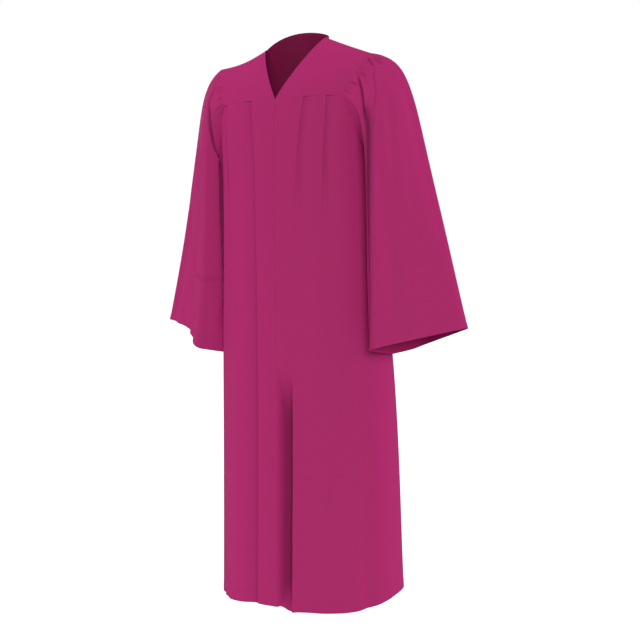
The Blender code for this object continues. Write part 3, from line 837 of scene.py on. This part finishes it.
def bead_rows(name, material, size, pitch, lift, lines):
    """Rows of small rounded beads as one mesh: each is repeated by an array, then laid along its line."""
    made = []
    for line, facing in lines:
        reach = np.concatenate([[0.0], np.cumsum(np.linalg.norm(np.diff(line, axis=0), axis=1))])
        select_nothing()
        bpy.ops.mesh.primitive_cube_add(size=1.0, location=(0.0, 0.0, 0.0))
        bead = bpy.context.object
        bead.scale = size
        bpy.ops.object.transform_apply(location=True, rotation=True, scale=True)
        rounded = bead.modifiers.new("rounded", "BEVEL")
        rounded.width = BEAD_ROUND
        rounded.segments = 1
        bpy.ops.object.modifier_apply(modifier=rounded.name)
        row = bead.modifiers.new("row", "ARRAY")
        row.count = int(reach[-1] / pitch)
        row.use_relative_offset = False
        row.use_constant_offset = True
        row.constant_offset_displace = (pitch, 0.0, 0.0)
        bpy.ops.object.modifier_apply(modifier=row.name)
        lay_along(bead, line, facing, reach, pitch / 2, lift)
        made.append(bead)
    select_nothing()
    for bead in made:
        bead.select_set(True)
    bpy.context.view_layer.objects.active = made[0]
    if len(made) > 1:
        bpy.ops.object.join()
    piece = made[0]
    piece.name = piece.data.name = name
    piece.data.uv_layers.active.name = "cloth_map"
    piece.data.materials.append(material)
    bpy.ops.object.shade_smooth_by_angle(angle=math.radians(40))
    return piece


def lay_along(piece, line, facing, reach, start, lift):
    """Bends a straight row of beads onto its line: x along it, y out from the cloth and z across."""
    local = np.empty(len(piece.data.vertices) * 3)
    piece.data.vertices.foreach_get("co", local)
    local = local.reshape(-1, 3)
    tangent = np.gradient(line, reach, axis=0)
    at = local[:, 0] + start
    base, out, along = (
        np.stack([np.interp(at, reach, values[:, axis]) for axis in range(3)], axis=-1)
        for values in (line, facing, tangent)
    )
    out /= np.linalg.norm(out, axis=-1, keepdims=True)
    across = np.cross(along, out)
    across /= np.linalg.norm(across, axis=-1, keepdims=True)
    laid = base + out * (local[:, 1:2] + lift) + across * local[:, 2:3]
    piece.data.vertices.foreach_set("co", laid.reshape(-1))
    piece.data.update()


def zip_lines(fronts):
    """The tape's grid behind both fronts, and the line of the teeth down its middle."""
    lines = []
    for side, reaches in ((-1, TAPE_REACHES[::-1]), (+1, TAPE_REACHES)):
        panel = fronts[side][0]
        panel = panel[panel[:, 0, 2] > -ZIP_END]
        for reach in reaches:
            lines.append([
                [side * reach] + [np.interp(reach, side * row[:, 0], row[:, axis]) for axis in (1, 2)]
                for row in panel
            ])
    shortest = min(len(line) for line in lines)
    tape = np.array([line[:shortest] for line in lines]).transpose(1, 0, 2)
    middle = tape[:, len(TAPE_REACHES) - 1:len(TAPE_REACHES) + 1].mean(axis=1) + [0.0, TOOTH_INSET, 0.0]
    tape[..., 1] += ZIP_INSET
    facing = np.zeros_like(middle)
    facing[:, 1] = -1.0
    return tape, middle, facing


def build_sewing(material, grids):
    """The stitches of each piece: hems, cuffs, the neck's edge and both sides of the zip."""
    made = {}
    for node, (points, out) in grids.items():
        lines = []
        if node in ("front_left", "front_right", "back"):
            lines.append(inset_line(points, out, HEM_DEPTH, 0, far=True))
        if node in ("front_left", "front_right"):
            line, facing = inset_line(points, out, ZIP_STITCH_INSET, 1)
            beside = line[:, 2] > -ZIP_END
            lines.append((line[beside], facing[beside]))
        if node.startswith("sleeve"):
            lines.append(inset_line(points, out, CUFF_DEPTH, 0, far=True))
        if node.startswith("yoke_front"):
            lines.append(inset_line(points, out, NECK_STITCH_INSET, 1))
        if node == "yoke_back":
            line, facing = inset_line(points, out, NECK_STITCH_INSET, 0)
            at_neck = np.abs(line[:, 0]) < NECK_HALF_WIDTH - NECK_STITCH_INSET
            lines.append((line[at_neck], facing[at_neck]))
        made[node] = bead_rows("stitches_" + node, material, STITCH, STITCH_PITCH, CLOTH / 2, lines)
    return made


def new_group(name, inputs, outputs):
    """A shader node group with named sockets. Returns it with its input and output nodes."""
    group = bpy.data.node_groups.new(name, "ShaderNodeTree")
    for label, kind, value in inputs:
        socket = group.interface.new_socket(name=label, in_out="INPUT", socket_type=kind)
        if value is not None:
            socket.default_value = value
    for label, kind in outputs:
        group.interface.new_socket(name=label, in_out="OUTPUT", socket_type=kind)
    return group, group.nodes.new("NodeGroupInput"), group.nodes.new("NodeGroupOutput")


def math_node(tree, operation, *values):
    node = tree.nodes.new("ShaderNodeMath")
    node.operation = operation
    for socket, value in zip(node.inputs, values):
        if isinstance(value, (int, float)):
            socket.default_value = value
        else:
            tree.links.new(value, socket)
    return node.outputs[0]


def woven_group():
    """Plain weave with uneven yarns. Height is the threads' relief, Tone the faint streaks of the yarns."""
    group, given, put = new_group(
        "plain_weave",
        [("Map", "NodeSocketVector", None), ("Threads per metre", "NodeSocketFloat", 1500.0)],
        [("Height", "NodeSocketFloat"), ("Tone", "NodeSocketFloat")],
    )
    links = group.links
    split = group.nodes.new("ShaderNodeSeparateXYZ")
    links.new(given.outputs["Map"], split.inputs[0])
    warp = math_node(group, "MULTIPLY", split.outputs["X"], given.outputs["Threads per metre"])
    weft = math_node(group, "MULTIPLY", split.outputs["Y"], given.outputs["Threads per metre"])
    over = math_node(group, "SINE", math_node(group, "MULTIPLY", warp, math.pi))
    under = math_node(group, "SINE", math_node(group, "MULTIPLY", weft, math.pi))
    threads = math_node(group, "MULTIPLY", over, under)
    yarns = []
    for scale in ((900.0, 14.0, 1.0), (14.0, 900.0, 1.0), (64.0, 22.0, 1.0)):
        stretch = group.nodes.new("ShaderNodeMapping")
        stretch.inputs["Scale"].default_value = scale
        links.new(given.outputs["Map"], stretch.inputs["Vector"])
        noise = group.nodes.new("ShaderNodeTexNoise")
        noise.inputs["Scale"].default_value = 1.0
        noise.inputs["Detail"].default_value = 2.0
        links.new(stretch.outputs[0], noise.inputs["Vector"])
        yarns.append(noise.outputs["Fac"])
    streaks = math_node(group, "MULTIPLY", math_node(group, "ADD", yarns[0], yarns[1]), 0.25)
    tone = math_node(group, "MULTIPLY_ADD", yarns[2], 0.5, streaks)
    height = math_node(group, "ADD", math_node(group, "MULTIPLY", threads, 0.25), tone)
    links.new(height, put.inputs["Height"])
    links.new(tone, put.inputs["Tone"])
    return group


def cloth_material(name, colour, pale, shade_colour, threads, weave, bump_depth):
    """Matte woven cloth: the weave in its relief, its yarns as faint streaks in colour and roughness, and
    painted shade: a dark colour mixed in where the crease mask says.
    """
    made = bpy.data.materials.new(name)
    made.use_nodes = True
    tree = made.node_tree
    shader = tree.nodes["Principled BSDF"]
    place = tree.nodes.new("ShaderNodeUVMap")
    place.uv_map = "cloth_map"
    group = tree.nodes.new("ShaderNodeGroup")
    group.node_tree = weave
    group.inputs["Threads per metre"].default_value = threads
    tree.links.new(place.outputs[0], group.inputs["Map"])
    blend = tree.nodes.new("ShaderNodeMix")
    blend.data_type = "RGBA"
    blend.inputs["A"].default_value = colour
    blend.inputs["B"].default_value = pale
    tree.links.new(group.outputs["Tone"], blend.inputs["Factor"])
    # painted shade: the crease mask blends the colour towards a dark one along folds, gathers, pleats and
    # the opening
    mask = tree.nodes.new("ShaderNodeAttribute")
    mask.attribute_name = "painted_shade_mask"
    shaded = tree.nodes.new("ShaderNodeMix")
    shaded.data_type = "RGBA"
    shaded.inputs["B"].default_value = shade_colour
    tree.links.new(mask.outputs["Fac"], shaded.inputs["Factor"])
    tree.links.new(blend.outputs["Result"], shaded.inputs["A"])
    tree.links.new(shaded.outputs["Result"], shader.inputs["Base Color"])
    rough = tree.nodes.new("ShaderNodeMapRange")
    rough.inputs["To Min"].default_value = 0.78
    rough.inputs["To Max"].default_value = 0.92
    tree.links.new(group.outputs["Tone"], rough.inputs["Value"])
    tree.links.new(rough.outputs[0], shader.inputs["Roughness"])
    bump = tree.nodes.new("ShaderNodeBump")
    bump.inputs["Strength"].default_value = 0.35
    bump.inputs["Distance"].default_value = bump_depth
    tree.links.new(group.outputs["Height"], bump.inputs["Height"])
    tree.links.new(bump.outputs[0], shader.inputs["Normal"])
    shader.inputs["Diffuse Roughness"].default_value = 1.0
    shader.inputs["Specular IOR Level"].default_value = 0.25
    made.diffuse_color = colour
    return made


def build_camera():
    """The photograph's viewpoint: level with the gown's middle, a little to the wearer's left."""
    azimuth = math.radians(28.0)
    distance = 2.8
    height = -0.632
    focal_pixels = 1134.0
    frame_pixels = 640.0
    centre_x, centre_y = 296.0, 300.0
    data = bpy.data.cameras.new("camera")
    camera = bpy.data.objects.new("camera", data)
    bpy.context.scene.collection.objects.link(camera)
    camera.location = (distance * math.sin(azimuth), -distance * math.cos(azimuth), height)
    camera.rotation_euler = (math.pi / 2, 0.0, azimuth)
    data.sensor_width = 36.0
    data.lens = data.sensor_width * focal_pixels / frame_pixels
    data.shift_x = (frame_pixels / 2 - centre_x) / frame_pixels
    data.shift_y = (centre_y - frame_pixels / 2) / frame_pixels
    data.clip_end = 200.0
    bpy.context.scene.camera = camera


def build_lights():
    """Soft light from all round, and a broad one from near the camera."""
    scene = bpy.context.scene
    scene.view_settings.view_transform = "Standard"
    world = bpy.data.worlds.new("studio")
    world.use_nodes = True
    tree = world.node_tree
    tree.nodes["Background"].inputs["Color"].default_value = (1.0, 1.0, 1.0, 1.0)
    seen = tree.nodes.new("ShaderNodeLightPath").outputs["Is Camera Ray"]
    strength = math_node(tree, "MULTIPLY_ADD", seen, 1.0 - DOME, DOME)
    tree.links.new(strength, tree.nodes["Background"].inputs["Strength"])
    scene.world = world
    for name, azimuth, elevation, strength, spread in (
        ("key", 29.0, 12.0, 2.30, 24.0),
        ("left", -35.0, 15.0, 0.22, 30.0),
        ("right", 66.0, 15.0, 0.18, 30.0),
        ("behind", 205.0, 12.0, 1.60, 40.0),
    ):
        data = bpy.data.lights.new(name, "SUN")
        data.energy = strength
        data.angle = math.radians(spread)
        lamp = bpy.data.objects.new(name, data)
        scene.collection.objects.link(lamp)
        lamp.rotation_euler = (math.radians(90.0 - elevation), 0.0, math.radians(azimuth))


def build_floor():
    select_nothing()
    bpy.ops.mesh.primitive_circle_add(vertices=96, radius=60.0, fill_type="NGON", location=(0.0, 0.0, 0.0))
    floor = bpy.context.object
    floor.name = "floor"
    floor.location = (0.0, 0.0, -1.80)
    made = bpy.data.materials.new("pale_floor")
    made.use_nodes = True
    shader = made.node_tree.nodes["Principled BSDF"]
    shader.inputs["Base Color"].default_value = (0.9, 0.9, 0.9, 1.0)
    shader.inputs["Roughness"].default_value = 0.9
    shader.inputs["Specular IOR Level"].default_value = 0.0
    shader.inputs["Emission Color"].default_value = (1.0, 1.0, 1.0, 1.0)
    seen = made.node_tree.nodes.new("ShaderNodeLightPath").outputs["Is Camera Ray"]
    glow = math_node(made.node_tree, "MULTIPLY", seen, FLOOR_GLOW)
    made.node_tree.links.new(glow, shader.inputs["Emission Strength"])
    floor.data.materials.append(made)


def build_cloth():
    weave = woven_group()
    # Each cloth: its colour, a paler tone for its yarns, and the dark colour of its painted crease shade
    colours = {
        "gown_cloth": ((0.380, 0.0155, 0.128, 1.0), (0.404, 0.0175, 0.138, 1.0), (0.085, 0.0, 0.022, 1.0)),
        # painted shade: a deeper, more saturated copy of the cloth colour for the inner sides seen in cuffs
        # and hem
        "gown_inside_painted_shade": ((0.390, 0.0050, 0.112, 1.0), (0.410, 0.0060, 0.119, 1.0), (0.085, 0.0, 0.022, 1.0)),
        # painted shade: a much darker copy of the cloth colour for the inside of the back neck
        "neck_inside_painted_shade": ((0.170, 0.0004, 0.040, 1.0), (0.182, 0.0005, 0.044, 1.0), (0.060, 0.0, 0.016, 1.0)),
        "zip_tape": ((0.300, 0.0120, 0.100, 1.0), (0.315, 0.0135, 0.106, 1.0), (0.085, 0.0, 0.022, 1.0)),
        "zip_teeth": ((0.330, 0.0150, 0.110, 1.0), (0.345, 0.0160, 0.116, 1.0), (0.085, 0.0, 0.022, 1.0)),
    }
    made = {name: cloth_material(name, *tones, 1500.0, weave, 0.0002) for name, tones in colours.items()}
    gown, shaded_inside = made["gown_cloth"], made["gown_inside_painted_shade"]
    fronts = {side: front_panel(side) for side in (+1, -1)}
    layers = {
        "front_left": (fronts[+1], -1),
        "front_right": (fronts[-1], +1),
        "back": (back_panel(), +1),
        "yoke_front_left": (front_yoke_grid(+1), -1),
        "yoke_front_right": (front_yoke_grid(-1), +1),
        "yoke_back": (back_yoke_grid(), +1),
        "sleeve_left": (sleeve_grid(+1), +1),
        "sleeve_right": (sleeve_grid(-1), -1),
    }
    pieces = {}
    grids = {}
    for node, (layer, turn) in layers.items():
        closed = node.startswith("sleeve")
        # the inner side of each piece takes a painted-shade copy of the cloth, the back yoke the darker neck
        # one
        inner, outer = (made["neck_inside_painted_shade"] if node == "yoke_back" else shaded_inside), gown
        if turn < 0:
            inner, outer = outer, inner
        pieces[node] = cloth_piece("cloth_" + node, outer, inner, *layer, closed=closed)
        grids[node] = (layer[0], grid_normals(layer[0], closed=closed) * turn)
        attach(pieces[node], "root")
        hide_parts(node)
    for sewn in build_sewing(gown, grids).values():
        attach(sewn, "root")
    tape, middle, facing = zip_lines(fronts)
    plain = np.zeros(tape.shape[:2])
    tape_cloth = made["zip_tape"]
    tape_piece = cloth_piece(
        "cloth_zip_tape", tape_cloth, tape_cloth, tape, tape[..., 0], -tape[..., 2], plain)
    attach(tape_piece, "root")
    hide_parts("zip_tape")
    teeth = bead_rows("zip_teeth", made["zip_teeth"], TOOTH, TOOTH_PITCH, 0.0, [(middle, facing)])
    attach(teeth, "root")


build_camera()
build_lights()
build_floor()
build_cloth()
